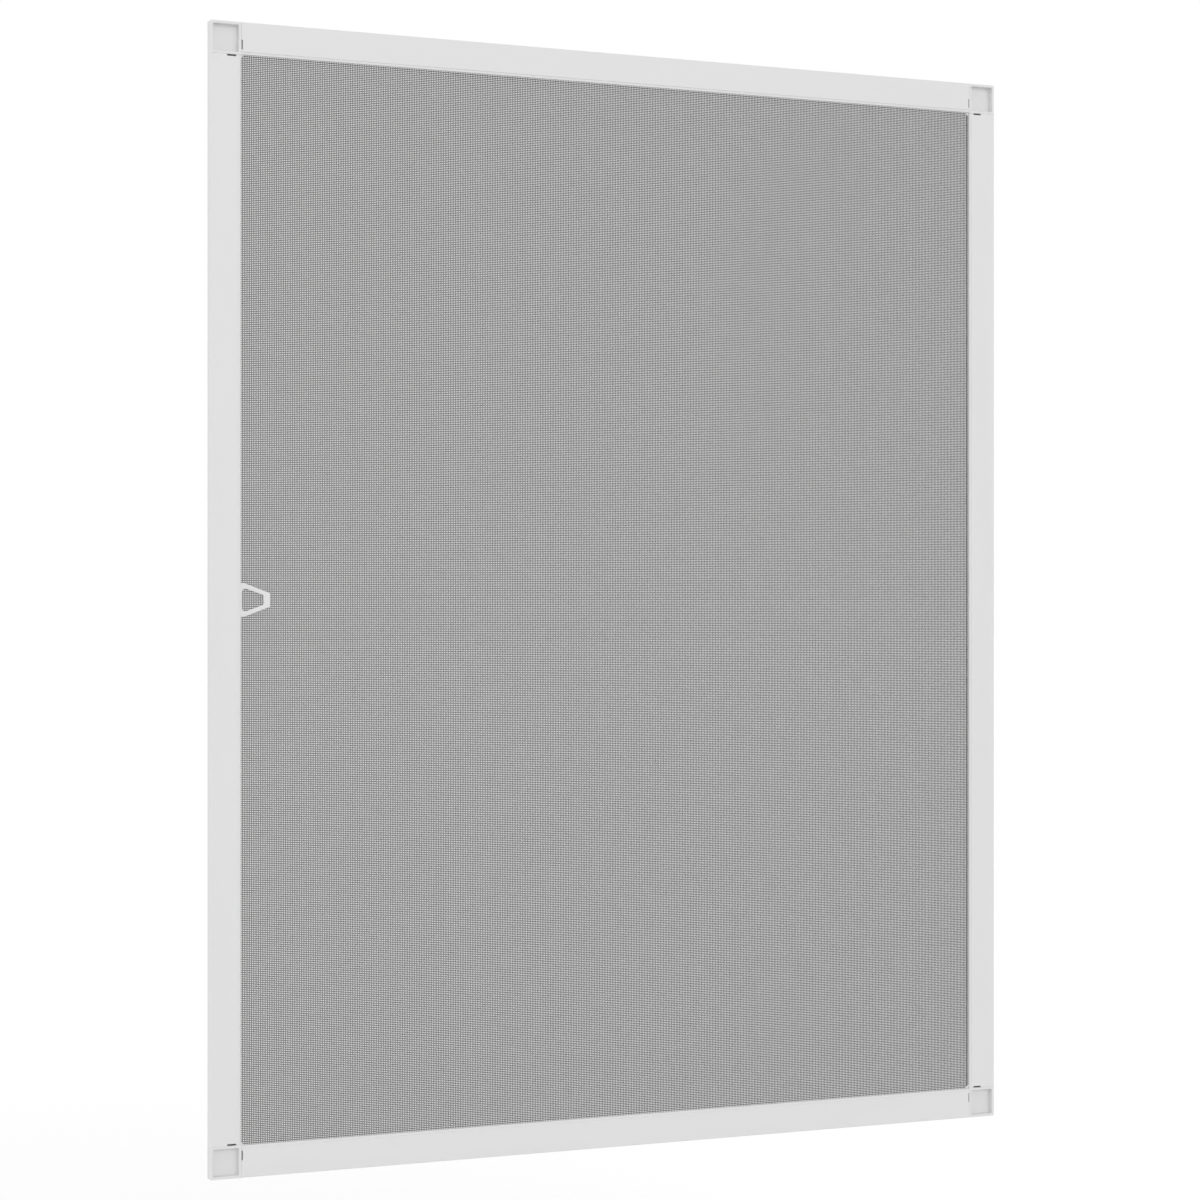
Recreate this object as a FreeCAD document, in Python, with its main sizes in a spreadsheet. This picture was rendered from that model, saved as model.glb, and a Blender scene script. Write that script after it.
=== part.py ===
import FreeCAD, Part
import os

import Sketcher

# A fly screen for a window: four hollow aluminium profiles butt against four moulded corner blocks, and a
# sheet of woven thread is held behind their lips by rubber splines pressed into grooves at the back.
# Millimetres. X runs across, Z up, and Y from the front face (-Y) to the back. The origin is the centre.

# Driving sizes: name, value, meaning
SIZES = (
    ("frame_width", 800.0, "across the outer edges"),
    ("frame_height", 1000.0, "from the lower to the upper outer edge"),
    ("frame_depth", 8.5, "front face to back face"),
    ("face_width", 25.8, "flat front face of a profile"),
    ("lip_reach", 2.1, "lip beyond the face, into the opening"),
    ("lip_setback", 0.7, "lip behind the face"),
    ("seat_depth", 4.4, "front face to the seat that the mesh lies on"),
    ("wall", 1.2, "wall of a profile"),
    ("chamber_width", 15.1, "box that takes the legs, with both of its walls"),
    ("groove_width", 8.4, "groove for the spline"),
    ("catch_height", 0.8, "nib at the mouth of the groove, along its depth"),
    ("catch_reach", 0.5, "nib at the mouth of the groove, across it"),
    ("bead_wall", 1.1, "side walls of the hollow bead under the lip"),
    ("bead_seat", 1.4, "wall of the bead behind its hollow"),
    ("edge_round", 0.6, "rounding of a profile's outer edges"),
    ("lip_bevel", 0.3, "bevel of the face's and the lip's inner edges"),
    ("stile_notch", 1.6, "slot in the front wall at each end of a stile"),
    ("rail_notch", 1.0, "slot in the front wall at each end of a rail"),
    ("block_proud", 0.5, "corner block beyond the lips, into the opening"),
    ("rim", 2.4, "rim round the recess of a corner block"),
    ("block_bevel", 0.4, "bevel of a corner block's front and back edges"),
    ("recess_depth", 6.2, "recess of a corner block"),
    ("recess_round", 0.8, "rounding of the recess corners"),
    ("recess_bevel", 0.3, "bevel round the mouth of the recess"),
    ("floor_wall", 1.2, "floor of the recess"),
    ("rib_wall", 1.4, "ribs behind the floor"),
    ("corner_round", 1.2, "rounding of the frame's outer corners"),
    ("leg_length", 38.0, "leg of a corner block"),
    ("leg_taper", 3.0, "tapered tip of a leg"),
    ("leg_clear", 0.45, "leg to the chamber's side walls"),
    ("leg_ease", 0.15, "leg to the chamber's front and back walls"),
    ("barb_clear", 0.1, "barb to the chamber's side walls"),
    ("barb_run", 3.0, "barb along the leg"),
    ("barb_height", 3.6, "barb from front to back"),
    ("barb_pitch", 6.0, "from barb to barb"),
    ("barb_count", 5, "barbs on each side of a leg"),
    ("pocket_count", 4, "lightening pockets in a leg"),
    ("web_reach", 3.0, "gusset in the corner of the opening"),
    ("web_front", 2.3, "front face to the gusset"),
    ("web_wall", 1.7, "gusset from front to back"),
    ("fit", 0.1, "gap between a soft piece and a hard one beside it"),
    ("end_gap", 0.3, "spline or mesh to a corner block"),
    ("spline_head", 1.6, "thickness of the spline's head"),
    ("spline_edge", 0.5, "bevels of the spline"),
    ("spline_inset", 0.3, "spline's head short of the lip's edge"),
    ("spline_wall", 1.5, "rubber round the hollow of the spline"),
    ("spline_rib", 0.35, "depth of the grooves in the spline's back"),
    ("cloth", 0.3, "wall of the mesh"),
    ("ridge", 0.2, "thread standing out of the wall of the mesh"),
    ("ridge_width", 1.2, "width of a standing thread"),
    ("ridge_margin", 1.5, "lip to the ends of the standing threads"),
    ("ridge_step", 7.0, "from one standing thread to the next"),
    ("band", 29.0, "closed cloth from one gap to the next"),
    ("gaps_across", 10, "gaps in a row"),
    ("gaps_up", 12, "rows of gaps"),
    ("tab_reach", 27.4, "pull tab beyond the lip"),
    ("tab_base", 29.8, "pull tab at the lip, up and down"),
    ("tab_straight", 3.0, "straight part of the pull tab at the lip"),
    ("tab_tip", 12.0, "pull tab at its tip, up and down"),
    ("tab_wall", 1.5, "thickness of the pull tab"),
    ("tab_front", 2.4, "front face to the pull tab"),
    ("tab_strip", 1.8, "strip between the lip and the finger gap"),
    ("tab_gap_reach", 21.6, "far end of the finger gap from the lip"),
    ("tab_gap_base", 22.0, "finger gap at the lip, up and down"),
    ("tab_gap_tip", 8.2, "finger gap at its far end, up and down"),
    ("tab_gap_round", 3.0, "corners of the finger gap at the lip"),
    ("tab_tip_round", 1.8, "corners of the finger gap at its far end"),
    ("tab_bevel", 0.35, "bevel of the pull tab's front edges"),
    ("tongue_wall", 0.8, "tongue of the pull tab under the lip"),
    ("tongue_inset", 0.9, "tongue narrower than the tab at each side"),
)

doc = FreeCAD.newDocument("WindowScreen")
sheet = doc.addObject("Spreadsheet::Sheet", "Sizes")
for row, (name, number, meaning) in enumerate(SIZES, 1):
    sheet.set(f"A{row}", name)
    sheet.set(f"B{row}", str(number))
    sheet.set(f"C{row}", meaning)
    sheet.setAlias(f"B{row}", name)
doc.recompute()


def ref(formula):
    """Turn the bracketed names in a formula into references to the sheet."""
    return formula.replace("[", "Sizes.").replace("]", "")


# Places worked out from the driving sizes. Across means from the outer edge towards the opening, and deep
# means from the front face towards the back.
GROOVE_START = ref("[chamber_width]")
GROOVE_END = ref("([chamber_width] + [groove_width])")
LIP_EDGE = ref("([face_width] + [lip_reach])")
BLOCK = ref("([face_width] + [lip_reach] + [block_proud])")
STILE_LENGTH = f"(Sizes.frame_height - 2 * {BLOCK})"
RAIL_LENGTH = f"(Sizes.frame_width - 2 * {BLOCK})"
SEAT = ref("[seat_depth]")
CATCH_TOP = ref("([seat_depth] - [catch_height])")
CLOTH_BACK = ref("([seat_depth] + [cloth])")
LEFT = ref("-[frame_width] / 2")
RIGHT = ref("[frame_width] / 2")
LOW = ref("-[frame_height] / 2")
HIGH = ref("[frame_height] / 2")
FRONT = ref("-[frame_depth] / 2")
OVERRUN = "1"


def value(formula):
    """Number that a formula gives with the sheet's sizes."""
    return float(sheet.evalExpression(formula))


def new_body(label, place, turn=0):
    """Sub-part whose own origin lies at place, turned about Y by a number of degrees."""
    body = doc.addObject("PartDesign::Body", label)
    body.Label = label
    body.Placement = FreeCAD.Placement(FreeCAD.Vector(), FreeCAD.Rotation(FreeCAD.Vector(0, 1, 0), turn))
    for axis, formula in zip("xyz", place):
        body.setExpression(f"Placement.Base.{axis}", formula)
    return body


def origin_feature(body, role):
    """Origin plane or axis of a body."""
    return next(feature for feature in body.Origin.OriginFeatures if feature.Role == role)


def tie(sketch, direction, line, formula):
    """Tie the start of a line to the sketch's origin along one direction."""
    if formula == "0":
        axis = -2 if direction == "DistanceX" else -1
        sketch.addConstraint(Sketcher.Constraint("PointOnObject", line, 1, axis))
        return
    number = sketch.addConstraint(Sketcher.Constraint(direction, -1, 1, line, 1, value(formula)))
    sketch.setExpression(f"Constraints[{number}]", formula)


def draw(sketch, outline):
    """Draw a closed outline through points given as pairs of formulas."""
    spots = [FreeCAD.Vector(value(across), value(along), 0) for across, along in outline]
    first = sketch.GeometryCount
    for start, end in zip(spots, spots[1:] + spots[:1]):
        sketch.addGeometry(Part.LineSegment(start, end), False)
    for place, (across, along) in enumerate(outline):
        line = first + place
        after = first + (place + 1) % len(outline)
        sketch.addConstraint(Sketcher.Constraint("Coincident", line, 2, after, 1))
        tie(sketch, "DistanceX", line, across)
        tie(sketch, "DistanceY", line, along)


def new_sketch(body, name, role, outlines, deep="0"):
    """Sketch on an origin plane of its body, moved back by a depth where one is given."""
    sketch = body.newObject("Sketcher::SketchObject", name)
    sketch.AttachmentSupport = (origin_feature(body, role), [""])
    sketch.MapMode = "FlatFace"
    if deep != "0":
        sketch.setExpression("AttachmentOffset.Base.z", f"-({deep})")
    for outline in outlines:
        draw(sketch, outline)
    return sketch


def box(low_across, high_across, low_up, high_up):
    """Outline of a rectangle."""
    return [(low_across, low_up), (high_across, low_up), (high_across, high_up), (low_across, high_up)]


def finish_feature(body, feature):
    """Make a feature the tip of its body and work it out."""
    body.Tip = feature
    doc.recompute()
    return feature


def extrude(body, name, outlines, length):
    """Section drawn across and deep, carried to both sides of the body's origin along Z."""
    pad = body.newObject("PartDesign::Pad", name)
    pad.Profile = new_sketch(body, name + "_section", "XY_Plane", outlines)
    pad.setExpression("Length", length)
    pad.Midplane = True
    return finish_feature(body, pad)


def pad_between(body, name, outlines, front, back):
    """Outlines seen from the front, solid from one depth to another."""
    pad = body.newObject("PartDesign::Pad", name)
    pad.Profile = new_sketch(body, name + "_outline", "XZ_Plane", outlines, back)
    pad.setExpression("Length", f"({back}) - ({front})")
    return finish_feature(body, pad)


def cut_between(body, name, outlines, front, back):
    """Outlines seen from the front, cut away from one depth to another."""
    pocket = body.newObject("PartDesign::Pocket", name)
    pocket.Profile = new_sketch(body, name + "_outline", "XZ_Plane", outlines, front)
    pocket.setExpression("Length", f"({back}) - ({front})")
    return finish_feature(body, pocket)


def repeat(body, name, feature, steps):
    """Repeat a feature along one or two origin axes; each step is axis, spacing and count."""
    pattern = body.newObject("PartDesign::LinearPattern", name)
    pattern.Originals = [feature]
    for suffix, (axis, spacing, count) in zip(("", "2"), steps):
        setattr(pattern, "Direction" + suffix, (origin_feature(body, axis), [""]))
        setattr(pattern, "Mode" + suffix, "Extent")
        pattern.setExpression("Length" + suffix, f"({spacing}) * ({count} - 1)")
        pattern.setExpression("Occurrences" + suffix, count)
    return finish_feature(body, pattern)


def edges_along(shape, axis, spots):
    """Names of the straight edges that run along an axis through one of the spots."""
    near = 1e-4
    names = []
    for number, edge in enumerate(shape.Edges, 1):
        run = edge.Vertexes[-1].Point - edge.Vertexes[0].Point
        if run.Length < near or run.cross(axis).Length > near * run.Length:
            continue
        for spot in spots:
            if (edge.Vertexes[0].Point - spot).cross(axis).Length < near:
                names.append(f"Edge{number}")
    return names


def edges_at(shape, depth, low, high):
    """Names of the edges that lie wholly at a depth and, across and up, between two places."""
    near = 1e-4
    names = []
    for number, edge in enumerate(shape.Edges, 1):
        limits = edge.BoundBox
        level = abs(limits.YMin - depth) < near and abs(limits.YMax - depth) < near
        after = min(limits.XMin, limits.ZMin) > low - near
        before = max(limits.XMax, limits.ZMax) < high + near
        if level and after and before:
            names.append(f"Edge{number}")
    return names


def round_edges(body, name, axis, spots, radius):
    """Round the edges of the tip that run along an axis through the spots."""
    base = body.Tip
    fillet = body.newObject("PartDesign::Fillet", name)
    fillet.Base = (base, edges_along(base.Shape, axis, spots))
    fillet.setExpression("Radius", radius)
    return finish_feature(body, fillet)


def bevel_edges(body, name, edges, size):
    """Bevel named edges of the tip."""
    base = body.Tip
    bevel = body.newObject("PartDesign::Chamfer", name)
    bevel.Base = (base, edges)
    bevel.setExpression("Size", size)
    return finish_feature(body, bevel)


def profile_spots(outline, places):
    """Corners of a section as points in space."""
    return [FreeCAD.Vector(value(outline[place][0]), value(outline[place][1]), 0) for place in places]


# Profiles: hollow section with a box for the legs, an open groove for the spline and a beaded lip
def make_profile(label, place, turn, length, notch):
    body = new_body(label, place, turn)
    wall = "Sizes.wall"
    face = "Sizes.face_width"
    setback = "Sizes.lip_setback"
    back = "Sizes.frame_depth"
    nib = ref("([chamber_width] + [catch_reach])")
    nib_slope = ref("([seat_depth] - [catch_height] / 2)")
    outer = [
        ("0", "0"),
        (face, "0"),
        (face, setback),
        (LIP_EDGE, setback),
        (LIP_EDGE, SEAT),
        (GROOVE_END, SEAT),
        (GROOVE_END, wall),
        (GROOVE_START, wall),
        (GROOVE_START, CATCH_TOP),
        (nib, nib_slope),
        (nib, SEAT),
        (GROOVE_START, SEAT),
        (GROOVE_START, back),
        ("0", back),
    ]
    chamber = box(wall, ref("[chamber_width] - [wall]"), wall, ref("[frame_depth] - [wall]"))
    bead = box(
        f"{GROOVE_END} + Sizes.bead_wall",
        f"{LIP_EDGE} - Sizes.bead_wall",
        ref("[lip_setback] + [wall]"),
        ref("[seat_depth] - [bead_seat]"),
    )
    extrude(body, label + "_bar", [outer, chamber, bead], length)
    up = FreeCAD.Vector(0, 0, 1)
    round_edges(body, label + "_outer_edges", up, profile_spots(outer, (0, 13)), "Sizes.edge_round")
    inner_edges = edges_along(body.Tip.Shape, up, profile_spots(outer, (1, 3, 4)))
    bevel_edges(body, label + "_inner_edges", inner_edges, "Sizes.lip_bevel")
    end = f"({length} / 2)"
    start = f"({length} / 2 - {notch})"
    notches = [
        box(GROOVE_START, GROOVE_END, start, f"{end} + {OVERRUN}"),
        box(GROOVE_START, GROOVE_END, f"-{end} - {OVERRUN}", f"-{start}"),
    ]
    cut_between(body, label + "_end_slots", notches, f"-{OVERRUN}", wall)
    return body


# Corner blocks: recessed square face, ribbed back, two barbed legs at a right angle, gusset in the opening
def turned(outline, upright):
    """Outline drawn for the leg along X, or the same one laid along Z."""
    if not upright:
        return outline
    return [(along, across) for across, along in outline]


def add_leg(body, label, upright):
    """Leg that fills the box of a profile, with barbs on both sides and pockets in its back."""
    axis = "Z_Axis" if upright else "X_Axis"
    front = ref("([wall] + [leg_ease])")
    back = ref("([frame_depth] - [wall] - [leg_ease])")
    low = ref("([wall] + [leg_clear])")
    high = ref("([chamber_width] - [wall] - [leg_clear])")
    tip = f"({BLOCK} + Sizes.leg_length)"
    shoulder = f"({tip} - Sizes.leg_taper)"
    core = [
        (f"{BLOCK} - {OVERRUN}", low),
        (shoulder, low),
        (tip, f"{low} + Sizes.leg_taper / 2"),
        (tip, f"{high} - Sizes.leg_taper / 2"),
        (shoulder, high),
        (f"{BLOCK} - {OVERRUN}", high),
    ]
    pad_between(body, label + "_core", [turned(core, upright)], front, back)

    barb_start = f"({BLOCK} + Sizes.barb_run)"
    barb_end = f"({BLOCK} + 2 * Sizes.barb_run)"
    barb_low = ref("([wall] + [barb_clear])")
    barb_high = ref("([chamber_width] - [wall] - [barb_clear])")
    root = "0.5"
    barbs = [
        [
            (barb_start, f"{low} + {root}"),
            (barb_start, barb_low),
            (barb_end, low),
            (barb_end, f"{low} + {root}"),
        ],
        [
            (barb_start, f"{high} - {root}"),
            (barb_start, barb_high),
            (barb_end, high),
            (barb_end, f"{high} - {root}"),
        ],
    ]
    middle = "Sizes.frame_depth / 2"
    barb = pad_between(
        body,
        label + "_barb",
        [turned(outline, upright) for outline in barbs],
        f"{middle} - Sizes.barb_height / 2",
        f"{middle} + Sizes.barb_height / 2",
    )
    repeat(body, label + "_barbs", barb, [(axis, "Sizes.barb_pitch", "Sizes.barb_count")])

    pitch = f"((Sizes.leg_length - Sizes.leg_taper - Sizes.rib_wall) / Sizes.pocket_count)"
    pocket = box(
        f"{BLOCK} + Sizes.rib_wall",
        f"{BLOCK} + {pitch}",
        f"{low} + Sizes.rib_wall",
        f"{high} - Sizes.rib_wall",
    )
    hollow = cut_between(
        body, label + "_pocket", [turned(pocket, upright)], f"{front} + Sizes.rib_wall", f"{back} + {OVERRUN}"
    )
    repeat(body, label + "_pockets", hollow, [(axis, pitch, "Sizes.pocket_count")])


def make_corner(label, place, turn):
    body = new_body(label, place, turn)
    back = "Sizes.frame_depth"
    pad_between(body, label + "_block", [box("0", BLOCK, "0", BLOCK)], "0", back)
    deep = FreeCAD.Vector(0, 1, 0)
    round_edges(body, label + "_outer_corner", deep, [FreeCAD.Vector()], "Sizes.corner_round")
    outline = []
    for depth in ("0", back):
        outline += edges_at(body.Tip.Shape, value(depth), 0, value(BLOCK))
    bevel_edges(body, label + "_block_edges", outline, "Sizes.block_bevel")

    inner = f"({BLOCK} - Sizes.rim)"
    floor = "Sizes.recess_depth"
    cut_between(body, label + "_recess", [box("Sizes.rim", inner, "Sizes.rim", inner)], "0", floor)
    rim, far = value("Sizes.rim"), value(inner)
    recess_corners = [FreeCAD.Vector(x, 0, z) for x in (rim, far) for z in (rim, far)]
    round_edges(body, label + "_recess_corners", deep, recess_corners, "Sizes.recess_round")
    bevel_edges(body, label + "_recess_mouth", edges_at(body.Tip.Shape, 0, rim, far), "Sizes.recess_bevel")

    cell = f"(({inner} - Sizes.rim - Sizes.rib_wall) / 2)"
    first_cell = box("Sizes.rim", f"Sizes.rim + {cell}", "Sizes.rim", f"Sizes.rim + {cell}")
    rear = cut_between(
        body, label + "_rear_cell", [first_cell], f"{floor} + Sizes.floor_wall", f"{back} + {OVERRUN}"
    )
    step = f"{cell} + Sizes.rib_wall"
    repeat(body, label + "_rear_cells", rear, [("X_Axis", step, "2"), ("Z_Axis", step, "2")])

    edge = f"({LIP_EDGE} + Sizes.fit)"
    tip = f"({BLOCK} + Sizes.web_reach)"
    heel = f"({BLOCK} - Sizes.block_proud / 2)"
    web = [(heel, edge), (tip, edge), (edge, tip), (edge, heel), (heel, heel)]
    pad_between(body, label + "_gusset", [web], "Sizes.web_front", ref("[web_front] + [web_wall]"))

    add_leg(body, label + "_level_leg", False)
    add_leg(body, label + "_upright_leg", True)
    return body


# Splines: hollow rubber foot with a barb under the nib, and a ribbed head that clamps the mesh on its seat
def make_spline(label, place, turn, length):
    body = new_body(label, place, turn)
    foot_low = ref("([chamber_width] + [fit])")
    neck = ref("([chamber_width] + [catch_reach] + [fit])")
    foot_high = f"({GROOVE_END} - Sizes.cloth - Sizes.fit)"
    bottom = ref("([wall] + [cloth] + [fit])")
    head_high = f"({LIP_EDGE} - Sizes.spline_inset)"
    crown = f"({CLOTH_BACK} + Sizes.spline_head)"
    edge = "Sizes.spline_edge"
    rib = "Sizes.spline_rib"
    outer = [
        (f"{foot_low} + {edge}", bottom),
        (f"{foot_high} - {edge}", bottom),
        (foot_high, f"{bottom} + {edge}"),
        (foot_high, CLOTH_BACK),
        (head_high, CLOTH_BACK),
        (head_high, f"{crown} - {edge}"),
        (f"{head_high} - {edge}", crown),
    ]
    for share in (3, 2, 1):
        middle = f"({foot_low} + ({head_high} - {foot_low}) * {share} / 4)"
        outer += [
            (f"{middle} + {rib}", crown),
            (middle, f"{crown} - {rib}"),
            (f"{middle} - {rib}", crown),
        ]
    outer += [
        (f"{foot_low} + {edge}", crown),
        (foot_low, f"{crown} - {edge}"),
        (foot_low, CLOTH_BACK),
        (neck, CLOTH_BACK),
        (neck, f"{CATCH_TOP} - Sizes.fit"),
        (foot_low, f"{CATCH_TOP} - Sizes.fit - Sizes.catch_reach"),
        (foot_low, f"{bottom} + {edge}"),
    ]
    hollow = box(
        f"{neck} + Sizes.spline_wall",
        f"{foot_high} - Sizes.spline_wall",
        f"{bottom} + Sizes.spline_wall / 2",
        CLOTH_BACK,
    )
    extrude(body, label + "_rubber", [outer, hollow], f"{length} - 2 * Sizes.end_gap")
    return body


# Mesh: one thin wall cut out at its corners, with a grid of gaps and standing threads on the bands between
# them, upright ones in front and level ones behind
def thread_middles(cell):
    """Middles of the standing threads beside the first gap, two on each side, from the outer edge."""
    near = [f"({LIP_EDGE} + Sizes.ridge_step * {share})" for share in (0.5, 1.5)]
    far = [f"({LIP_EDGE} + {cell} - Sizes.ridge_step * {share})" for share in (1.5, 0.5)]
    return near + far


def make_mesh(label):
    body = new_body(label, (LEFT, FRONT, LOW))
    wide = "Sizes.frame_width"
    tall = "Sizes.frame_height"
    hem = f"({GROOVE_END} + Sizes.fit)"
    corner = f"({BLOCK} + Sizes.end_gap)"
    plan = [
        (corner, hem),
        (f"{wide} - {corner}", hem),
        (f"{wide} - {corner}", corner),
        (f"{wide} - {hem}", corner),
        (f"{wide} - {hem}", f"{tall} - {corner}"),
        (f"{wide} - {corner}", f"{tall} - {corner}"),
        (f"{wide} - {corner}", f"{tall} - {hem}"),
        (corner, f"{tall} - {hem}"),
        (corner, f"{tall} - {corner}"),
        (hem, f"{tall} - {corner}"),
        (hem, corner),
        (corner, corner),
    ]
    pad_between(body, label + "_wall", [plan], SEAT, CLOTH_BACK)

    cell_across = f"(({wide} - 2 * {LIP_EDGE}) / Sizes.gaps_across)"
    cell_up = f"(({tall} - 2 * {LIP_EDGE}) / Sizes.gaps_up)"
    start = f"({LIP_EDGE} + Sizes.ridge_margin)"
    half = "Sizes.ridge_width / 2"
    uprights = [
        box(f"{middle} - {half}", f"{middle} + {half}", start, f"{tall} - {start}")
        for middle in thread_middles(cell_across)
    ]
    front_threads = pad_between(body, label + "_uprights", uprights, ref("[seat_depth] - [ridge]"), SEAT)
    repeat(body, label + "_upright_rows", front_threads, [("X_Axis", cell_across, "Sizes.gaps_across")])
    crossings = [
        box(start, f"{wide} - {start}", f"{middle} - {half}", f"{middle} + {half}")
        for middle in thread_middles(cell_up)
    ]
    back_threads = pad_between(
        body, label + "_crossings", crossings, CLOTH_BACK, f"{CLOTH_BACK} + Sizes.ridge"
    )
    repeat(body, label + "_crossing_rows", back_threads, [("Z_Axis", cell_up, "Sizes.gaps_up")])

    low = f"({LIP_EDGE} + Sizes.band / 2)"
    gap = box(
        low,
        f"{LIP_EDGE} + {cell_across} - Sizes.band / 2",
        low,
        f"{LIP_EDGE} + {cell_up} - Sizes.band / 2",
    )
    first = cut_between(body, label + "_gap", [gap], f"{SEAT} - {OVERRUN}", f"{CLOTH_BACK} + {OVERRUN}")
    rows = [("X_Axis", cell_across, "Sizes.gaps_across"), ("Z_Axis", cell_up, "Sizes.gaps_up")]
    repeat(body, label + "_gaps", first, rows)
    return body


# Pull tab: flat loop in front of the mesh, and its tongue in a relief of the left lip
TONGUE_FRONT = ref("([seat_depth] - [fit] / 2 - [tongue_wall])")
TONGUE_HALF = ref("([tab_base] / 2 - [tongue_inset])")


def make_pull_tab(label):
    body = new_body(label, (LEFT, FRONT, "0"))
    base = f"({LIP_EDGE} + Sizes.fit)"
    tip = f"({LIP_EDGE} + Sizes.tab_reach)"
    shoulder = f"({base} + Sizes.tab_straight)"
    half = "Sizes.tab_base / 2"
    half_tip = "Sizes.tab_tip / 2"
    loop = [
        (base, f"-{half}"),
        (shoulder, f"-{half}"),
        (tip, f"-{half_tip}"),
        (tip, half_tip),
        (shoulder, half),
        (base, half),
    ]
    back = ref("([tab_front] + [tab_wall])")
    pad_between(body, label + "_loop", [loop], "Sizes.tab_front", back)

    gap_start = f"({LIP_EDGE} + Sizes.tab_strip)"
    gap_end = f"({LIP_EDGE} + Sizes.tab_gap_reach)"
    gap = [
        (gap_start, "-Sizes.tab_gap_base / 2"),
        (gap_end, "-Sizes.tab_gap_tip / 2"),
        (gap_end, "Sizes.tab_gap_tip / 2"),
        (gap_start, "Sizes.tab_gap_base / 2"),
    ]
    cut_between(body, label + "_finger_gap", [gap], f"Sizes.tab_front - {OVERRUN}", f"{back} + {OVERRUN}")
    deep = FreeCAD.Vector(0, 1, 0)
    near, far = value(gap_start), value(gap_end)
    wide, narrow = value("Sizes.tab_gap_base") / 2, value("Sizes.tab_gap_tip") / 2
    near_corners = [FreeCAD.Vector(near, 0, side * wide) for side in (-1, 1)]
    far_corners = [FreeCAD.Vector(far, 0, side * narrow) for side in (-1, 1)]
    round_edges(body, label + "_near_corners", deep, near_corners, "Sizes.tab_gap_round")
    round_edges(body, label + "_far_corners", deep, far_corners, "Sizes.tab_tip_round")

    front_edges = edges_at(body.Tip.Shape, value("Sizes.tab_front"), -value(half), value(tip))
    bevel_edges(body, label + "_front_edges", front_edges, "Sizes.tab_bevel")

    tongue = box(
        f"{GROOVE_END} + Sizes.fit",
        f"{base} + Sizes.tab_strip / 2",
        f"-{TONGUE_HALF}",
        TONGUE_HALF,
    )
    pad_between(body, label + "_tongue", [tongue], TONGUE_FRONT, f"{SEAT} - Sizes.fit / 2")
    return body


stile_left = make_profile("stile_left", (LEFT, FRONT, "0"), 0, STILE_LENGTH, "Sizes.stile_notch")
make_profile("rail_top", ("0", FRONT, HIGH), 90, RAIL_LENGTH, "Sizes.rail_notch")
make_profile("stile_right", (RIGHT, FRONT, "0"), 180, STILE_LENGTH, "Sizes.stile_notch")
make_profile("rail_bottom", ("0", FRONT, LOW), 270, RAIL_LENGTH, "Sizes.rail_notch")

relief_half = f"({TONGUE_HALF} + Sizes.fit)"
relief = box(GROOVE_END + " - " + OVERRUN, f"{LIP_EDGE} + {OVERRUN}", f"-{relief_half}", relief_half)
cut_between(
    stile_left, "stile_left_tab_relief", [relief], f"{TONGUE_FRONT} - Sizes.fit", f"{SEAT} + {OVERRUN}"
)

make_corner("corner_bottom_left", (LEFT, FRONT, LOW), 0)
make_corner("corner_top_left", (LEFT, FRONT, HIGH), 90)
make_corner("corner_top_right", (RIGHT, FRONT, HIGH), 180)
make_corner("corner_bottom_right", (RIGHT, FRONT, LOW), 270)

make_spline("spline_left", (LEFT, FRONT, "0"), 0, STILE_LENGTH)
make_spline("spline_top", ("0", FRONT, HIGH), 90, RAIL_LENGTH)
make_spline("spline_right", (RIGHT, FRONT, "0"), 180, STILE_LENGTH)
make_spline("spline_bottom", ("0", FRONT, LOW), 270, RAIL_LENGTH)

make_mesh("screen_mesh")
make_pull_tab("pull_tab")

doc.recompute()
for item in doc.Objects:
    if "Invalid" in item.State or "Error" in item.State:
        raise RuntimeError(f"{item.Label} could not be worked out: {item.State}")

bodies = [item for item in doc.Objects if item.TypeId == "PartDesign::Body"]
for body in bodies:
    if body.Shape.isNull() or not body.Shape.isValid():
        raise RuntimeError(f"{body.Label} has no valid shape")

os.makedirs("parts", exist_ok=True)
for body in bodies:
    body.Shape.exportStep(f"parts/{body.Label}.step")
    limits = body.Shape.BoundBox
    print(
        f"{body.Label}: {len(body.Shape.Solids)} solid, {body.Shape.Volume:.1f} mm3, "
        f"X {limits.XMin:.2f} {limits.XMax:.2f}, Y {limits.YMin:.2f} {limits.YMax:.2f}, "
        f"Z {limits.ZMin:.2f} {limits.ZMax:.2f}"
    )
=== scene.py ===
"""Looks of a window screen: coated profiles, corner blocks, rubber splines, woven cloth and a pull tab.

The file is laid out as a Blender add-on and is run as a script. Lengths are in metres. X runs across, Z runs
up, and Y runs from the front face to the back. The origin is the middle of the screen.
"""

import math

import bpy
import numpy as np
from bpy.props import FloatProperty, FloatVectorProperty, PointerProperty
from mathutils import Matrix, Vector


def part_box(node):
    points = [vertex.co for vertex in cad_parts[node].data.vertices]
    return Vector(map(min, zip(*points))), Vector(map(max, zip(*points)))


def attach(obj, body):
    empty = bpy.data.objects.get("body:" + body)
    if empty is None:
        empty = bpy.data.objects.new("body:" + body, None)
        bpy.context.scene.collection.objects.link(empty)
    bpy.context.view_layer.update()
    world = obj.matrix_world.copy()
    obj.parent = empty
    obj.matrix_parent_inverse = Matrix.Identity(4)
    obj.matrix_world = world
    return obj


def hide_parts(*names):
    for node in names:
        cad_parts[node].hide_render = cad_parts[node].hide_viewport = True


bl_info = {
    "name": "Window Screen Looks",
    "version": (1, 0, 0),
    "blender": (4, 5, 0),
    "location": "View3D > Sidebar > Window Screen",
    "description": "Dresses the solids of a window screen and sets them on a pale floor",
    "category": "Object",
}

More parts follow.
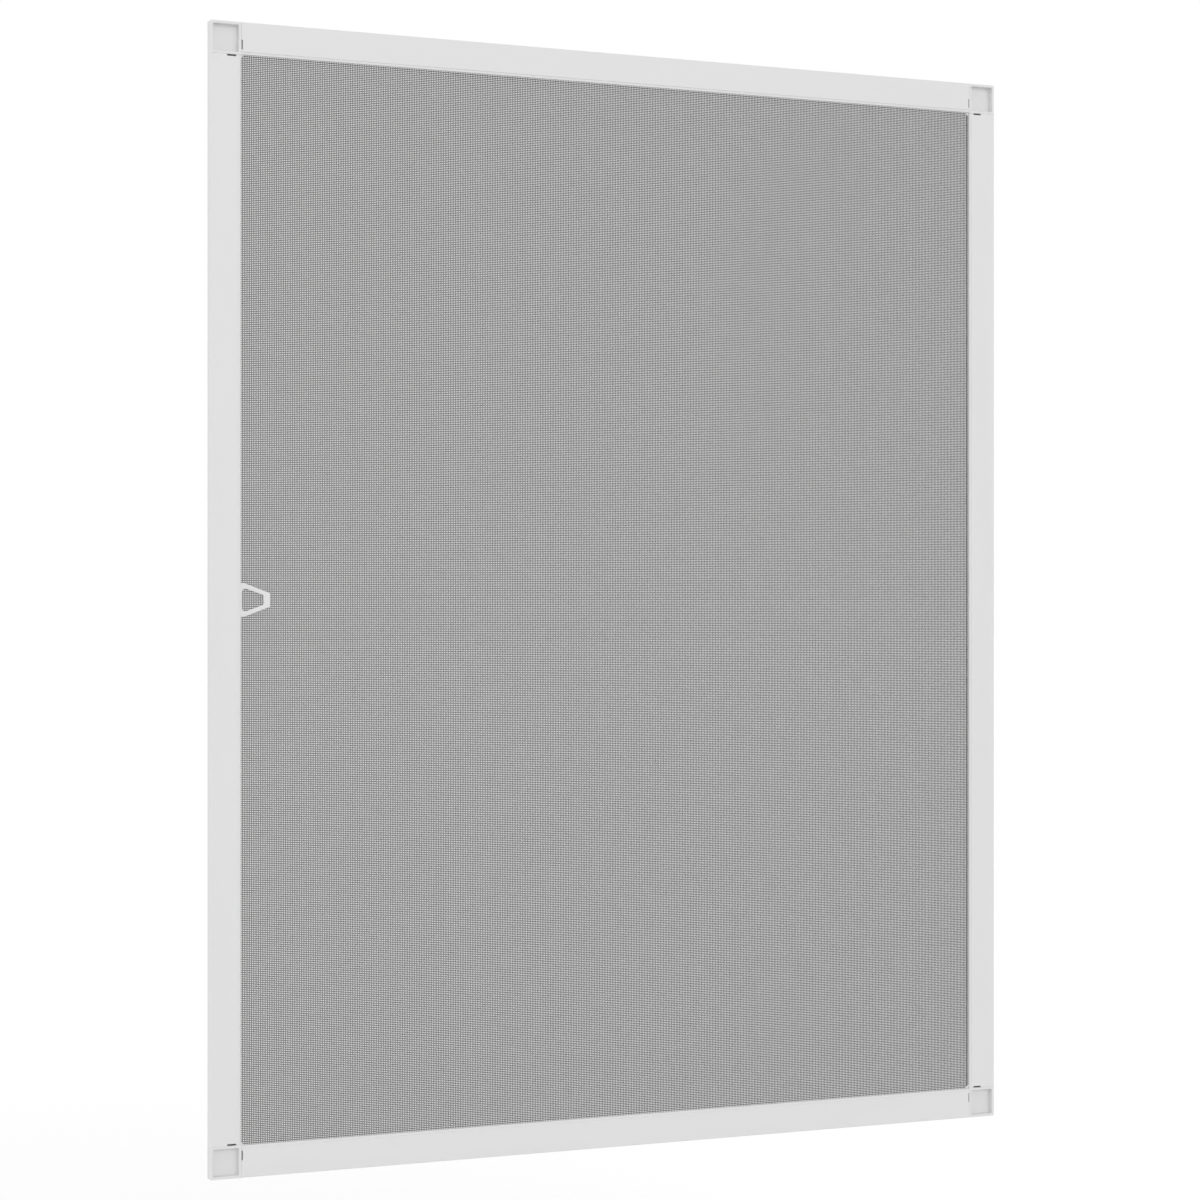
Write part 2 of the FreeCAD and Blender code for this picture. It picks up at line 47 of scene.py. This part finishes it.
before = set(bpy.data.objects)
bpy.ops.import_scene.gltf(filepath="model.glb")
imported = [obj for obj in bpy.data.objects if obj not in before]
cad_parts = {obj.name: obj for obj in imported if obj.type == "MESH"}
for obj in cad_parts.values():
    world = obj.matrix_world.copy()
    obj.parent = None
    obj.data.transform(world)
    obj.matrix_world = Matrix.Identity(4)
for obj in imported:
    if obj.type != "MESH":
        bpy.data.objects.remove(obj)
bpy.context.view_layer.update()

MM = 0.001
BODY = "root"
STILES = ("stile_left", "stile_right")
RAILS = ("rail_top", "rail_bottom")
CORNERS = ("corner_top_left", "corner_top_right", "corner_bottom_left", "corner_bottom_right")
UPRIGHT_SPLINES = ("spline_left", "spline_right")
LEVEL_SPLINES = ("spline_top", "spline_bottom")

# Points round a thread's section.
THREAD_SIDES = 8
# Least way from a thread's last bend to its end.
END_CLEARANCE = 0.3 * MM
# How many times larger a finish's patches are than its grain.
PATCH_RATIO = 40.0
# Range that nearly all values of a noise texture fall in.
NOISE_LOW = 0.3
NOISE_HIGH = 0.7
# Strength of the grain's bump.
GRAIN_STRENGTH = 0.6
# Lines of the floor's grid, each way.
FLOOR_LINES = 9
# Width of the camera's sensor in millimetres.
SENSOR_WIDTH = 36.0


# Settings


class ScreenClothSizes(bpy.types.PropertyGroup):
    """Sizes of the woven cloth."""

    pitch_across: FloatProperty(
        name="Pitch across", description="From one upright thread to the next",
        default=1.65 * MM, unit="LENGTH"
    )
    pitch_up: FloatProperty(
        name="Pitch up", description="From one level thread to the next",
        default=1.61 * MM, unit="LENGTH"
    )
    thread_width: FloatProperty(
        name="Thread width", description="Coated thread seen from the front",
        default=0.87 * MM, unit="LENGTH"
    )
    thread_depth: FloatProperty(
        name="Thread depth", description="Coated thread from front to back",
        default=0.4 * MM, unit="LENGTH"
    )
    thread_offset: FloatProperty(
        name="Thread offset", description="Middle of a thread from the middle of the cloth",
        default=0.15 * MM, unit="LENGTH"
    )
    pinched_depth: FloatProperty(
        name="Pinched depth", description="Thread between the lip and the spline, from front to back",
        default=0.16 * MM, unit="LENGTH"
    )
    pinched_offset: FloatProperty(
        name="Pinched offset", description="Middle of such a thread from the middle of the cloth",
        default=0.065 * MM, unit="LENGTH"
    )
    release: FloatProperty(
        name="Release", description="Way from the lip's edge to where a thread has its full depth",
        default=1.5 * MM, unit="LENGTH"
    )
    crimp: FloatProperty(
        name="Crimp", description="How far a thread's finish rises and dips over the others",
        default=0.2 * MM, unit="LENGTH"
    )
    # Painted shade: where a thread dips under another, its colour is darkened to this share of full.
    painted_dip_shade: FloatProperty(
        name="Dip shade", description="Brightness where a thread dips under, as a share",
        default=0.65, min=0.0, max=1.0, subtype="FACTOR"
    )


class ScreenColours(bpy.types.PropertyGroup):
    """Colours of the finishes, linear."""

    coat: FloatVectorProperty(
        name="Coat", description="Powder coat of the profiles",
        default=(0.80, 0.80, 0.80), size=3, subtype="COLOR"
    )
    block: FloatVectorProperty(
        name="Block", description="Plastic of the corner blocks",
        default=(0.795, 0.795, 0.795), size=3, subtype="COLOR"
    )
    tab: FloatVectorProperty(
        name="Tab", description="Plastic of the pull tab",
        default=(0.80, 0.80, 0.80), size=3, subtype="COLOR"
    )
    rubber: FloatVectorProperty(
        name="Rubber", description="Rubber of the splines",
        default=(0.11, 0.11, 0.112), size=3, subtype="COLOR"
    )
    thread: FloatVectorProperty(
        name="Thread", description="Coating of the threads",
        default=(0.255, 0.255, 0.255), size=3, subtype="COLOR"
    )


class ScreenStage(bpy.types.PropertyGroup):
    """Floor, light and camera."""

    dome: FloatProperty(
        name="Dome", description="Strength of the even light all round",
        default=0.68, min=0.0
    )
    front: FloatProperty(
        name="Front", description="Strength of the broad light in front",
        default=0.94, min=0.0
    )
    side: FloatProperty(
        name="Side", description="Strength of the broad light at the left",
        default=0.80, min=0.0
    )
    spread: FloatProperty(
        name="Spread", description="Angle that each broad light fills",
        default=math.radians(50), subtype="ANGLE"
    )
    rise: FloatProperty(
        name="Rise", description="How far the broad lights stand above level",
        default=math.radians(10), subtype="ANGLE"
    )
    floor_half: FloatProperty(
        name="Floor half", description="Half the floor's side",
        default=60.0, unit="LENGTH"
    )
    floor_drop: FloatProperty(
        name="Floor drop", description="Way from the screen's lower edge down to the floor",
        default=0.25, unit="LENGTH"
    )
    floor_tone: FloatProperty(
        name="Floor tone", description="How pale the floor is",
        default=0.85, min=0.0, max=1.0, subtype="FACTOR"
    )
    floor_lift: FloatProperty(
        name="Floor lift", description="Added where the floor is seen directly or mirrored",
        default=0.345
    )
    lens: FloatProperty(
        name="Lens", description="Focal length in millimetres",
        default=96.40, min=1.0
    )
    shift_up: FloatProperty(
        name="Shift up", description="Lens shift upwards",
        default=0.0044
    )
    yaw: FloatProperty(
        name="Yaw", description="Turn of the view to the right",
        default=math.radians(26.163), subtype="ANGLE"
    )
    camera_place: FloatVectorProperty(
        name="Camera place", description="Where the camera stands",
        default=(-1.3192, -2.63605, -0.0046), size=3, subtype="TRANSLATION"
    )


# Node helpers


def set_inputs(node, values):
    """Set a node's inputs by their names, in which _ stands for a space."""
    for name, value in values.items():
        node.inputs[name.replace("_", " ")].default_value = value


def add_node(tree, kind, place, **values):
    """New node of a kind at a place in the editor, with its named inputs set."""
    node = tree.nodes.new(kind)
    node.location = place
    set_inputs(node, values)
    return node


def add_math(tree, operation, place, *feeds):
    """Output of a new Math node, whose inputs are sockets or numbers."""
    node = add_node(tree, "ShaderNodeMath", place)
    node.operation = operation
    for socket, feed in zip(node.inputs, feeds):
        if isinstance(feed, bpy.types.NodeSocket):
            tree.links.new(feed, socket)
        else:
            socket.default_value = feed
    return node.outputs["Value"]


def add_shade(tree, place, colour, share):
    """Output of a new node that takes a colour down to a share of itself."""
    node = add_node(tree, "ShaderNodeVectorMath", place)
    node.operation = "SCALE"
    tree.links.new(colour, node.inputs[0])
    tree.links.new(share, node.inputs["Scale"])
    return node.outputs["Vector"]


def add_group(tree, place, name, build, **values):
    """New node of a group that materials share, built when it is first asked for, with its inputs set."""
    node = add_node(tree, "ShaderNodeGroup", place)
    node.node_tree = bpy.data.node_groups.get(name) or build()
    set_inputs(node, values)
    return node


def group_sockets(group, inputs, outputs):
    """Give a node group float inputs with defaults, and outputs of a kind."""
    for name, default in inputs:
        socket = group.interface.new_socket(name=name, in_out="INPUT", socket_type="NodeSocketFloat")
        socket.default_value = default
    for name, kind in outputs:
        group.interface.new_socket(name=name, in_out="OUTPUT", socket_type=kind)
    return group.nodes.new("NodeGroupInput"), group.nodes.new("NodeGroupOutput")


def build_grain_group():
    """Group that puts out a fine grain, of a given number of bumps a metre, and slow, much larger patches."""
    group = bpy.data.node_groups.new("Surface grain", "ShaderNodeTree")
    entry, leave = group_sockets(
        group,
        [("Grain", 1000.0), ("Stretch X", 1.0), ("Stretch Z", 1.0)],
        [("Height", "NodeSocketFloat"), ("Patches", "NodeSocketFloat")],
    )
    links = group.links
    place = add_node(group, "ShaderNodeTexCoord", (-900, 0))
    stretch = add_node(group, "ShaderNodeCombineXYZ", (-900, -250), Y=1.0)
    links.new(entry.outputs["Stretch X"], stretch.inputs["X"])
    links.new(entry.outputs["Stretch Z"], stretch.inputs["Z"])
    scaled = add_node(group, "ShaderNodeVectorMath", (-700, 0))
    scaled.operation = "MULTIPLY"
    links.new(place.outputs["Object"], scaled.inputs[0])
    links.new(stretch.outputs["Vector"], scaled.inputs[1])
    small = add_node(group, "ShaderNodeTexNoise", (-450, 150), Detail=2.0, Roughness=0.55)
    links.new(scaled.outputs["Vector"], small.inputs["Vector"])
    links.new(entry.outputs["Grain"], small.inputs["Scale"])
    large = add_node(group, "ShaderNodeTexNoise", (-450, -150), Detail=3.0, Roughness=0.6)
    links.new(scaled.outputs["Vector"], large.inputs["Vector"])
    coarse = add_math(group, "DIVIDE", (-650, -250), entry.outputs["Grain"], PATCH_RATIO)
    links.new(coarse, large.inputs["Scale"])
    links.new(small.outputs["Fac"], leave.inputs["Height"])
    links.new(large.outputs["Fac"], leave.inputs["Patches"])
    return group


def build_finish_group():
    """Group that turns patches into a colour a shade darker or full, and into a roughness in a range."""
    group = bpy.data.node_groups.new("Finish variation", "ShaderNodeTree")
    entry, leave = group_sockets(
        group,
        [("Patches", 0.5), ("Depth", 0.03), ("Smooth", 0.4), ("Rough", 0.5)],
        [("Colour", "NodeSocketColor"), ("Roughness", "NodeSocketFloat")],
    )
    tint = group.interface.new_socket(name="Tint", in_out="INPUT", socket_type="NodeSocketColor")
    tint.default_value = (0.8, 0.8, 0.8, 1.0)
    links = group.links
    spread = add_node(group, "ShaderNodeMapRange", (-500, 150), From_Min=NOISE_LOW, From_Max=NOISE_HIGH)
    links.new(entry.outputs["Patches"], spread.inputs["Value"])
    darkest = add_math(group, "SUBTRACT", (-500, -100), 1.0, entry.outputs["Depth"])
    share = add_node(group, "ShaderNodeMapRange", (-280, 50), To_Max=1.0)
    links.new(spread.outputs["Result"], share.inputs["Value"])
    links.new(darkest, share.inputs["To Min"])
    colour = add_shade(group, (-60, 100), entry.outputs["Tint"], share.outputs["Result"])
    rough = add_node(group, "ShaderNodeMapRange", (-280, -250))
    links.new(spread.outputs["Result"], rough.inputs["Value"])
    links.new(entry.outputs["Smooth"], rough.inputs["To Min"])
    links.new(entry.outputs["Rough"], rough.inputs["To Max"])
    links.new(colour, leave.inputs["Colour"])
    links.new(rough.outputs["Result"], leave.inputs["Roughness"])
    return group


def build_weave_group():
    """Group that puts out how a thread of a plain weave lies, from 0 at its dips to 1 where it passes over.

    Height = 1/2 + 1/2 * cos(pi * (number + crossing + phase)). The number is the thread's own in its row, and
    the crossing counts the threads that it has met along its way.
    """
    group = bpy.data.node_groups.new("Plain weave", "ShaderNodeTree")
    inputs = [
        ("Across", 0.0), ("Along", 0.0), ("First Across", 0.0), ("Step Across", 1.0), ("First Along", 0.0),
        ("Step Along", 1.0), ("Phase", 0.0),
    ]
    entry, leave = group_sockets(group, inputs, [("Height", "NodeSocketFloat")])
    given = entry.outputs
    across = add_math(group, "SUBTRACT", (-900, 200), given["Across"], given["First Across"])
    place = add_math(group, "DIVIDE", (-700, 200), across, given["Step Across"])
    number = add_math(group, "ROUND", (-500, 200), place)
    along = add_math(group, "SUBTRACT", (-900, -100), given["Along"], given["First Along"])
    crossing = add_math(group, "DIVIDE", (-700, -100), along, given["Step Along"])
    both = add_math(group, "ADD", (-300, 100), number, crossing)
    turns = add_math(group, "ADD", (-100, 100), both, given["Phase"])
    angle = add_math(group, "MULTIPLY", (100, 100), turns, math.pi)
    wave = add_math(group, "COSINE", (300, 100), angle)
    height = add_math(group, "MULTIPLY_ADD", (500, 100), wave, 0.5, 0.5)
    group.links.new(height, leave.inputs["Height"])
    return group


def finish(name, colour, grain, smooth, rough, depth, relief, stretch=(1.0, 1.0), **shader):
    """Material with a grain of so many bumps a metre, a roughness range and a relief in metres.

    Its patches are up to depth darker than its colour. The stretch draws the grain out across and up where it
    is below 1, and further values go to the shader's own sockets.
    """
    material = bpy.data.materials.new(name)
    material.use_nodes = True
    material.diffuse_color = (*colour, 1.0)
    tree = material.node_tree
    links = tree.links
    principled = tree.nodes["Principled BSDF"]
    set_inputs(principled, shader)
    texture = add_group(
        tree, (-900, 0), "Surface grain", build_grain_group,
        Grain=grain, Stretch_X=stretch[0], Stretch_Z=stretch[1]
    )
    variation = add_group(
        tree, (-600, 150), "Finish variation", build_finish_group,
        Tint=(*colour, 1.0), Depth=depth, Smooth=smooth, Rough=rough
    )
    bump = add_node(tree, "ShaderNodeBump", (-300, -200), Distance=relief, Strength=GRAIN_STRENGTH)
    links.new(texture.outputs["Patches"], variation.inputs["Patches"])
    links.new(texture.outputs["Height"], bump.inputs["Height"])
    links.new(variation.outputs["Colour"], principled.inputs["Base Color"])
    links.new(variation.outputs["Roughness"], principled.inputs["Roughness"])
    links.new(bump.outputs["Normal"], principled.inputs["Normal"])
    return material


def dress(names, material):
    """Give CAD nodes a material in place of their plain one."""
    for name in names:
        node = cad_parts[name]
        node.data.materials.clear()
        node.data.materials.append(material)


# Cloth


def thread_row(half, width, pitch):
    """Place of a row's first thread, its step, as near a pitch as fills the row, and how many there are."""
    steps = round((2 * half - width) / pitch)
    return -half + width / 2, (2 * half - width) / steps, steps + 1


def thread_rings(along, across, width, depth, middle, turn):
    """Points of many straight threads, as places across, deep and along by thread, station and ring point.

    A ring is an ellipse: across = place + width / 2 * cos(angle), deep = middle + depth / 2 * sin(angle). The
    angle runs once round, forwards or backwards by turn. The stations carry it straight along the thread.
    """
    ring = np.linspace(0.0, 2.0 * np.pi, THREAD_SIDES, endpoint=False)
    angle = turn * (ring + np.pi / THREAD_SIDES)
    ring_across = across[:, None, None] + width / 2 * np.cos(angle)
    ring_deep = middle[:, :, None] + depth[:, :, None] / 2 * np.sin(angle)
    shape = ring_deep.shape
    ring_along = np.broadcast_to(along[:, :, None], shape)
    return np.broadcast_to(ring_across, shape), ring_deep, ring_along


def openness(side_way, end_way, release):
    """Share of its full depth that a thread has: the smooth step of its way to the nearer lip / release."""
    way = np.clip(np.minimum(side_way, end_way) / release, 0.0, 1.0)
    return way * way * (3.0 - 2.0 * way)


def thread_faces(threads, stations):
    """Corner numbers and face starts of closed threads: quads along the sides and one face on each end."""
    ring = np.arange(THREAD_SIDES)
    after = (ring + 1) % THREAD_SIDES
    start = np.arange(stations - 1)[:, None] * THREAD_SIDES
    following = start + THREAD_SIDES
    quads = np.stack([start + ring, start + after, following + after, following + ring], axis=-1)
    last_end = (stations - 1) * THREAD_SIDES + ring
    corners = np.concatenate([quads.ravel(), ring[::-1], last_end])
    sizes = np.concatenate([np.full((stations - 1) * THREAD_SIDES, 4), [THREAD_SIDES, THREAD_SIDES]])
    offsets = np.arange(threads)[:, None] * stations * THREAD_SIDES
    all_sizes = np.tile(sizes, threads)
    starts = np.concatenate([[0], np.cumsum(all_sizes)[:-1]])
    return (corners + offsets).ravel(), starts


def mesh_from_arrays(name, points, corners, starts):
    """Mesh object from arrays of points, corner numbers and face starts."""
    mesh = bpy.data.meshes.new(name)
    mesh.vertices.add(len(points))
    mesh.vertices.foreach_set("co", points.astype(np.float32).ravel())
    mesh.loops.add(len(corners))
    mesh.loops.foreach_set("vertex_index", corners.astype(np.int32))
    mesh.polygons.add(len(starts))
    mesh.polygons.foreach_set("loop_start", starts.astype(np.int32))
    mesh.update(calc_edges=True)
    if mesh.validate():
        raise RuntimeError(f"{name} has faces that had to be repaired")
    piece = bpy.data.objects.new(name, mesh)
    bpy.context.scene.collection.objects.link(piece)
    return piece


def weave_finish(name, colours, sizes, upright):
    """Coating of the upright or the level threads, higher in bump where they pass over the other kind, and
    with painted shade that makes them darker where they dip under and paler where they pass over.
    """
    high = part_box("screen_mesh")[1]
    columns = thread_row(high.x, sizes.thread_width, sizes.pitch_across)
    rows = thread_row(high.z, sizes.thread_width, sizes.pitch_up)
    own, other = (columns, rows) if upright else (rows, columns)
    material = finish(
        name, tuple(colours.thread), grain=2500.0, smooth=0.5, rough=0.65, depth=0.12, relief=0.03 * MM,
        Specular_IOR_Level=0.35
    )
    tree = material.node_tree
    links = tree.links
    principled = tree.nodes["Principled BSDF"]
    place = add_node(tree, "ShaderNodeTexCoord", (-1300, -500))
    parts = add_node(tree, "ShaderNodeSeparateXYZ", (-1100, -500))
    weave = add_group(
        tree, (-900, -500), "Plain weave", build_weave_group,
        First_Across=own[0], Step_Across=own[1], First_Along=other[0], Step_Along=other[1],
        Phase=0.0 if upright else 1.0
    )
    links.new(place.outputs["Object"], parts.inputs["Vector"])
    links.new(parts.outputs["X" if upright else "Z"], weave.inputs["Across"])
    links.new(parts.outputs["Z" if upright else "X"], weave.inputs["Along"])
    # Painted shade: the coating's colour falls to the dip shade where the thread dips under, and is full
    # where it passes over.
    share = add_node(tree, "ShaderNodeMapRange", (-600, -500), To_Min=sizes.painted_dip_shade, To_Max=1.0)
    links.new(weave.outputs["Height"], share.inputs["Value"])
    coated = principled.inputs["Base Color"].links[0].from_socket
    painted_shade_colour = add_shade(tree, (-200, 250), coated, share.outputs["Result"])
    links.new(painted_shade_colour, principled.inputs["Base Color"])
    bump = add_node(tree, "ShaderNodeBump", (-150, -350), Distance=sizes.crimp)
    links.new(weave.outputs["Height"], bump.inputs["Height"])
    links.new(principled.inputs["Normal"].links[0].from_socket, bump.inputs["Normal"])
    links.new(bump.outputs["Normal"], principled.inputs["Normal"])
    return material


def lay_threads(sizes, upright):
    """Points, corner numbers and face starts of all upright or all level threads.

    A thread is pinched flat from its end to the lip's edge, and has its full depth from the release inward.
    The upright threads lie in front of the cloth's middle and the level ones behind it. A thread that meets a
    corner block ends at the notch.
    """
    low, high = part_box("screen_mesh")
    lip_x, lip_z = -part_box("stile_left")[1].x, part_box("rail_top")[0].z
    notch_x, notch_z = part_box("spline_top")[1].x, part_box("spline_left")[1].z
    if upright:
        reach, side_lip, side_notch = high.x, lip_x, notch_x
        length, lip, notch = high.z, lip_z, notch_z
        pitch, turn = sizes.pitch_across, 1
    else:
        reach, side_lip, side_notch = high.z, lip_z, notch_z
        length, lip, notch = high.x, lip_x, notch_x
        pitch, turn = sizes.pitch_up, -1
    first, step, count = thread_row(reach, sizes.thread_width, pitch)
    across = first + step * np.arange(count)
    end = np.where(np.abs(across) + sizes.thread_width / 2 > side_notch, notch, length)
    clamp = np.minimum(lip, end - END_CLEARANCE)
    half_open = np.full_like(end, lip - sizes.release / 2)
    fully_open = np.full_like(end, lip - sizes.release)
    along = np.stack([-end, -clamp, -half_open, -fully_open, fully_open, half_open, clamp, end], axis=1)
    share = openness(side_lip - np.abs(across[:, None]), lip - np.abs(along), sizes.release)
    depth = sizes.pinched_depth + (sizes.thread_depth - sizes.pinched_depth) * share
    offset = sizes.pinched_offset + (sizes.thread_offset - sizes.pinched_offset) * share
    middle = (low.y + high.y) / 2 - turn * offset
    ring_across, deep, ring_along = thread_rings(along, across, sizes.thread_width, depth, middle, turn)
    parts = (ring_across, deep, ring_along) if upright else (ring_along, deep, ring_across)
    corners, starts = thread_faces(count, along.shape[1])
    return np.stack(parts, axis=-1).reshape(-1, 3), corners, starts


class SCREEN_OT_weave_cloth(bpy.types.Operator):
    """Weave the cloth from upright and level threads, pinched flat under the lips"""

    bl_idname = "screen.weave_cloth"
    bl_label = "Weave cloth"

    def execute(self, context):
        sizes = context.scene.screen_cloth
        colours = context.scene.screen_colours
        upright_points, upright_corners, upright_starts = lay_threads(sizes, True)
        level_points, level_corners, level_starts = lay_threads(sizes, False)
        points = np.concatenate([upright_points, level_points])
        corners = np.concatenate([upright_corners, level_corners + len(upright_points)])
        starts = np.concatenate([upright_starts, level_starts + len(upright_corners)])
        cloth = mesh_from_arrays("screen_cloth", points, corners, starts)
        cloth.data.materials.append(weave_finish("upright_thread", colours, sizes, True))
        cloth.data.materials.append(weave_finish("level_thread", colours, sizes, False))
        faces = cloth.data.polygons
        is_level = np.arange(len(faces)) >= len(upright_starts)
        faces.foreach_set("material_index", is_level.astype(np.int32))
        faces.foreach_set("use_smooth", np.ones(len(faces), dtype=bool))
        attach(cloth, BODY)
        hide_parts("screen_mesh")
        return {"FINISHED"}


# Profiles, corner blocks, tab and splines


class SCREEN_OT_coat_profiles(bpy.types.Operator):
    """Give the profiles their powder coat over faint extrusion lines"""

    bl_idname = "screen.coat_profiles"
    bl_label = "Coat profiles"

    def execute(self, context):
        coat = tuple(context.scene.screen_colours.coat)
        for names, stretch, word in ((STILES, (1.0, 0.25), "upright"), (RAILS, (0.25, 1.0), "level")):
            material = finish(
                f"powder_coat_{word}", coat, grain=1400.0, smooth=0.42, rough=0.52, depth=0.02,
                relief=0.02 * MM, stretch=stretch
            )
            dress(names, material)
        return {"FINISHED"}


class SCREEN_OT_mould_corners(bpy.types.Operator):
    """Give the corner blocks their moulded plastic"""

    bl_idname = "screen.mould_corners"
    bl_label = "Mould corners"

    def execute(self, context):
        block = tuple(context.scene.screen_colours.block)
        material = finish(
            "moulded_block", block, grain=3000.0, smooth=0.5, rough=0.6, depth=0.02, relief=0.02 * MM
        )
        dress(CORNERS, material)
        return {"FINISHED"}


class SCREEN_OT_mould_tab(bpy.types.Operator):
    """Give the pull tab its smooth plastic"""

    bl_idname = "screen.mould_tab"
    bl_label = "Mould pull tab"

    def execute(self, context):
        tab = tuple(context.scene.screen_colours.tab)
        material = finish(
            "moulded_tab", tab, grain=2200.0, smooth=0.35, rough=0.45, depth=0.02, relief=0.01 * MM
        )
        dress(("pull_tab",), material)
        return {"FINISHED"}


class SCREEN_OT_press_splines(bpy.types.Operator):
    """Give the splines their rubber, drawn out along each length"""

    bl_idname = "screen.press_splines"
    bl_label = "Press splines"

    def execute(self, context):
        rubber = tuple(context.scene.screen_colours.rubber)
        lengths = ((UPRIGHT_SPLINES, (1.0, 0.08), "upright"), (LEVEL_SPLINES, (0.08, 1.0), "level"))
        for names, stretch, word in lengths:
            material = finish(
                f"spline_rubber_{word}", rubber, grain=3500.0, smooth=0.6, rough=0.8, depth=0.3,
                relief=0.04 * MM, stretch=stretch, Specular_IOR_Level=0.3
            )
            dress(names, material)
        return {"FINISHED"}


# Stage


def add_seen(tree):
    """Output that is 1 for the camera, off a mirroring surface and through glass, and 0 for other light."""
    path = add_node(tree, "ShaderNodeLightPath", (-800, 0)).outputs
    mirrored = add_math(tree, "MAXIMUM", (-600, 0), path["Is Camera Ray"], path["Is Glossy Ray"])
    return add_math(tree, "MAXIMUM", (-400, 0), mirrored, path["Is Transmission Ray"])


def build_world(scene, dome):
    """Sky that is white where it is seen directly or mirrored, and casts light of a given strength."""
    world = bpy.data.worlds.new("studio")
    scene.world = world
    world.use_nodes = True
    tree = world.node_tree
    background = tree.nodes["Background"]
    background.inputs["Color"].default_value = (1.0, 1.0, 1.0, 1.0)
    strength = add_node(tree, "ShaderNodeMapRange", (-200, 0), To_Min=dome, To_Max=1.0)
    tree.links.new(add_seen(tree), strength.inputs["Value"])
    tree.links.new(strength.outputs["Result"], background.inputs["Strength"])


def build_floor(settings):
    """Pale square floor below the screen, lifted to white where it is seen directly or mirrored."""
    half = settings.floor_half
    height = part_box("rail_bottom")[0].z - settings.floor_drop
    grid = np.linspace(-half, half, FLOOR_LINES)
    across, deep = np.meshgrid(grid, grid)
    points = np.stack([across, deep, np.full_like(across, height)], axis=-1).reshape(-1, 3)
    cell = (np.arange(FLOOR_LINES - 1)[:, None] * FLOOR_LINES + np.arange(FLOOR_LINES - 1)).ravel()
    corners = np.stack([cell, cell + 1, cell + FLOOR_LINES + 1, cell + FLOOR_LINES], axis=-1).ravel()
    floor = mesh_from_arrays("floor", points, corners, np.arange(len(cell)) * 4)
    material = bpy.data.materials.new("floor_paint")
    material.use_nodes = True
    tree = material.node_tree
    tree.nodes.clear()
    out = add_node(tree, "ShaderNodeOutputMaterial", (400, 0))
    both = add_node(tree, "ShaderNodeAddShader", (200, 0))
    paint = add_node(tree, "ShaderNodeBsdfDiffuse", (0, 100))
    paint.inputs["Color"].default_value = (*[settings.floor_tone] * 3, 1.0)
    glow = add_node(tree, "ShaderNodeEmission", (0, -100))
    lift = add_math(tree, "MULTIPLY", (-200, -100), add_seen(tree), settings.floor_lift)
    tree.links.new(lift, glow.inputs["Strength"])
    tree.links.new(paint.outputs["BSDF"], both.inputs[0])
    tree.links.new(glow.outputs["Emission"], both.inputs[1])
    tree.links.new(both.outputs["Shader"], out.inputs["Surface"])
    floor.data.materials.append(material)


def add_broad_light(scene, name, strength, leftward, settings):
    """Soft light, even all over the screen, that comes from an angle leftward of straight in front."""
    light = bpy.data.lights.new(name, "SUN")
    light.energy = strength
    light.angle = settings.spread
    lamp = bpy.data.objects.new(name, light)
    lamp.rotation_euler = (math.pi / 2 - settings.rise, 0.0, -leftward)
    scene.collection.objects.link(lamp)


def add_camera(scene, settings):
    """Camera with an upright picture plane, turned to the right by the yaw."""
    camera_data = bpy.data.cameras.new("view")
    camera_data.lens = settings.lens
    camera_data.sensor_width = SENSOR_WIDTH
    camera_data.shift_y = settings.shift_up
    camera = bpy.data.objects.new("view", camera_data)
    camera.location = settings.camera_place
    camera.rotation_euler = (math.pi / 2, 0.0, -settings.yaw)
    scene.collection.objects.link(camera)
    scene.camera = camera


class SCREEN_OT_set_stage(bpy.types.Operator):
    """Set up the floor, the light and the camera"""

    bl_idname = "screen.set_stage"
    bl_label = "Set stage"

    def execute(self, context):
        scene = context.scene
        settings = scene.screen_stage
        scene.view_settings.view_transform = "Standard"
        add_camera(scene, settings)
        build_world(scene, settings.dome)
        build_floor(settings)
        add_broad_light(scene, "front_light", settings.front, 0.0, settings)
        add_broad_light(scene, "side_light", settings.side, math.pi / 2, settings)
        return {"FINISHED"}


class SCREEN_PT_panel(bpy.types.Panel):
    """Lists the steps of dressing the screen"""

    bl_idname = "SCREEN_PT_panel"
    bl_label = "Window Screen"
    bl_space_type = "VIEW_3D"
    bl_region_type = "UI"
    bl_category = "Window Screen"

    def draw(self, context):
        for step in STEPS:
            self.layout.operator(step.bl_idname)


# Add-on


STEPS = (
    SCREEN_OT_set_stage,
    SCREEN_OT_coat_profiles,
    SCREEN_OT_mould_corners,
    SCREEN_OT_mould_tab,
    SCREEN_OT_press_splines,
    SCREEN_OT_weave_cloth,
)
SETTINGS = (
    ("screen_cloth", ScreenClothSizes),
    ("screen_colours", ScreenColours),
    ("screen_stage", ScreenStage),
)
CLASSES = (*(kind for _, kind in SETTINGS), *STEPS, SCREEN_PT_panel)


def register():
    """Register the classes and give every scene its settings."""
    for kind in CLASSES:
        bpy.utils.register_class(kind)
    for name, kind in SETTINGS:
        setattr(bpy.types.Scene, name, PointerProperty(type=kind))


def unregister():
    """Take the settings and the classes away again."""
    for name, _ in SETTINGS:
        delattr(bpy.types.Scene, name)
    for kind in reversed(CLASSES):
        bpy.utils.unregister_class(kind)


def main():
    """Run the steps in order."""
    register()
    for step in STEPS:
        group, name = step.bl_idname.split(".")
        getattr(getattr(bpy.ops, group), name)()


if __name__ == "__main__":
    main()
